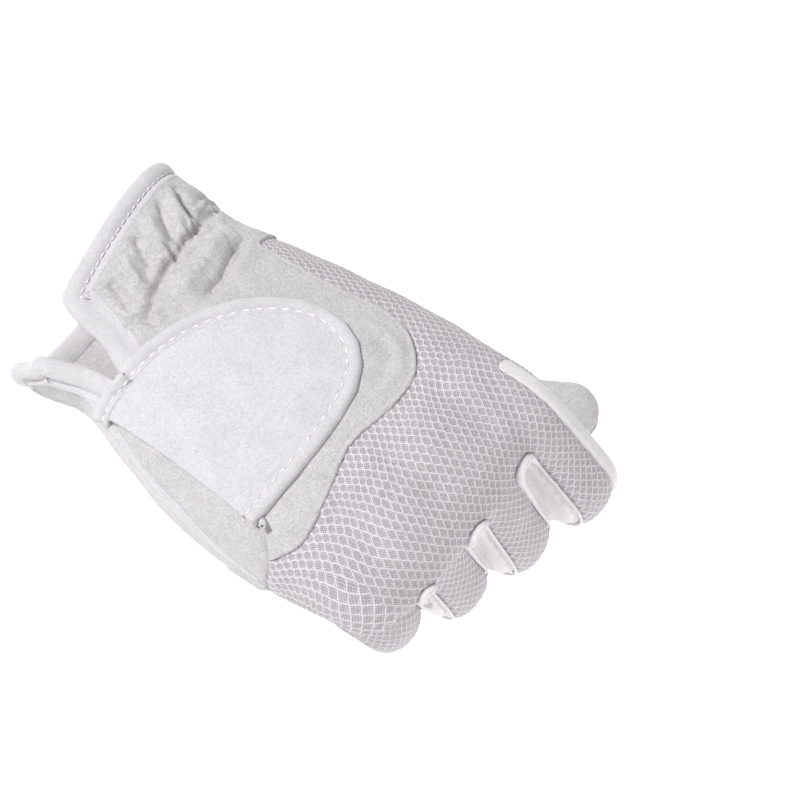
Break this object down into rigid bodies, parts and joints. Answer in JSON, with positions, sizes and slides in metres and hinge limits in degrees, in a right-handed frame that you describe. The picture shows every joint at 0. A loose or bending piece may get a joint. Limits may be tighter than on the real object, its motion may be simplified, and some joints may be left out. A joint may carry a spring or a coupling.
{
  "type": "horse riding glove",
  "caption": "Right-hand riding glove in a closed grip: knit back, suede palm and wrist patch, bound cuff with a slit, and a rounded closure tab.",
  "frame": {"origin": "middle of the wrist opening, where the hand goes in", "axes": "+Y from the wrist opening to the knuckles, +Z out of the back of the hand, -X to the thumb side"},
  "size_m": [0.1112, 0.1376, 0.095],
  "materials": {
    "knit": "light grey-white waffle knit",
    "suede": "off-white brushed synthetic suede",
    "stretch_suede": "white smooth stretch suede",
    "jersey_tape": "cool white jersey tape, stitched",
    "tab_suede": "fine-grained off-white suede"
  },
  "bodies": {
    "root": {"back_panel": "knit", "wrist_patch": "suede", "outer_side_panel": "suede", "palm_panel": "suede", "thumb_panel": "suede", "thumb_back": "knit", "fourchette_index_middle": "stretch_suede", "fourchette_middle_ring": "stretch_suede", "fourchette_ring_little": "stretch_suede", "index_side_strip": "stretch_suede", "cuff_binding": "jersey_tape", "closure_tab": "tab_suede", "tab_binding": "jersey_tape"}
  },
  "joints": []
}
